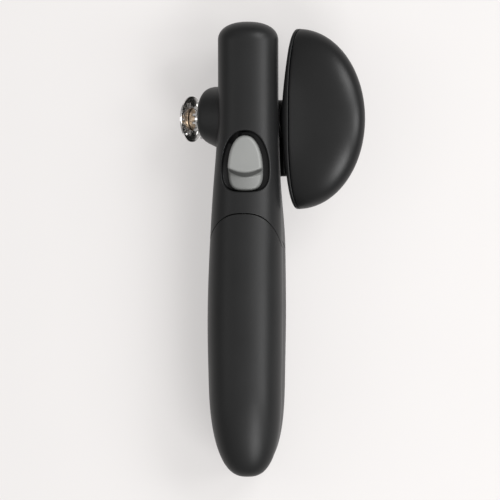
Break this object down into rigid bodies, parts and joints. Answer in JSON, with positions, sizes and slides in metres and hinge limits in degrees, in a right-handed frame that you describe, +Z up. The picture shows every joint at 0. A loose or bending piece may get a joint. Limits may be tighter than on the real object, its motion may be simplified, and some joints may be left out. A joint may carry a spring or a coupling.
{
  "type": "manual can opener",
  "caption": "Hand can opener with two soft black handles that pivot at the nose, a half-moon turning knob, geared feed and cutting wheels and a sliding thumb lock.",
  "frame": {"origin": "on the flat resting strip of the lower handle, below the point where the drive shaft crosses the middle plane", "axes": "+Y along the handles to the nose, +Z up from the resting strip, +X to the knob"},
  "size_m": [0.0779, 0.1901, 0.0456],
  "materials": {
    "soft_black": "matt soft-touch, fine grain",
    "hard_black": "fine satin grain",
    "knob_black": "satin, a little glossier than the grips",
    "lock_grey": "smooth satin",
    "bright_steel": "turned and polished",
    "frame_steel": "stamped, dull",
    "bronze": "satin"
  },
  "bodies": {
    "lower_handle": {"lower_housing": "hard_black", "lower_grip": "soft_black", "lower_frame": "frame_steel", "drive_bearing": "bronze", "pivot_pin": "frame_steel", "pivot_spacer": "frame_steel", "pivot_clip_left": "frame_steel", "pivot_clip_right": "frame_steel", "latch_catch_pin": "frame_steel", "lower_frame_pin_front": "frame_steel", "lower_frame_pin_rear": "frame_steel"},
    "upper_handle": {"upper_housing": "hard_black", "upper_grip": "soft_black", "upper_frame": "frame_steel", "cutter_bearing": "bronze", "upper_frame_pin_front": "frame_steel", "upper_frame_pin_rear": "frame_steel", "lock_detent_spring": "bright_steel"},
    "drive": {"drive_shaft": "bright_steel", "drive_gear": "bright_steel", "feed_wheel": "bright_steel", "feed_screw": "bright_steel", "drive_washer": "frame_steel", "knob_core": "hard_black", "knob_cross_pin": "frame_steel", "knob_shell": "knob_black"},
    "cutter": {"cutter_spindle": "bright_steel", "cutter_gear": "bright_steel", "cutter_spacer": "bronze", "cutting_wheel": "bright_steel", "cutter_rivet": "bronze"},
    "lock": {"lock_button": "lock_grey", "latch_hook": "frame_steel"}
  },
  "joints": [
    {"name": "handle_hinge", "type": "hinge", "parent": "lower_handle", "child": "upper_handle", "pos_m": [-0.00346, 0.028, 0.02317], "axis": [-0.9135, 0, -0.4067], "range_deg": [0, 12]},
    {"name": "drive_spin", "type": "hinge", "parent": "lower_handle", "child": "drive", "pos_m": [0, 0, 0.0154], "axis": [0.9135, 0, 0.4067], "continuous": true},
    {"name": "cutter_spin", "type": "hinge", "parent": "upper_handle", "child": "cutter", "pos_m": [-0.0061, 0, 0.0291], "axis": [0.9135, 0, 0.4067], "continuous": true},
    {"name": "lock_slide", "type": "slide", "parent": "upper_handle", "child": "lock", "axis": [0, 1, 0], "range_m": [0, 0.0018]}
  ],
  "couplings": [
    {"joint": "cutter_spin", "follows": "drive_spin", "ratio": -1}
  ]
}
